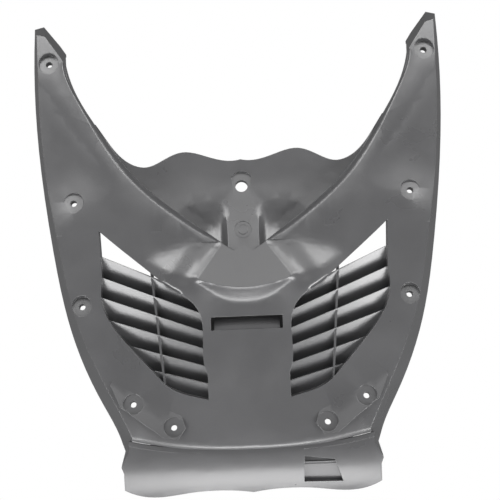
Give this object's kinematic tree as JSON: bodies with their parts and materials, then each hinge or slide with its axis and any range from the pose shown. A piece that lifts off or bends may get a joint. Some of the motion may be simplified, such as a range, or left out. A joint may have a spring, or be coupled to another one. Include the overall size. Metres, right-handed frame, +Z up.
{
  "type": "scooter front inner panel",
  "caption": "One-piece moulded inner panel for a scooter's front shield, with two horns, a nose, louvred side vents, raised screw pads and a stepped apron.",
  "frame": {"origin": "midway between the seats of the two lower side screws", "axes": "+X to the rider's right, +Y forwards away from the rider, +Z up, leaned 15 degrees as it sits on the scooter"},
  "size_m": [0.4608, 0.1558, 0.5214],
  "materials": {
    "panel": "dark grey polypropylene with a fine satin grain"
  },
  "bodies": {
    "root": {"inner_panel": "panel"}
  },
  "joints": []
}
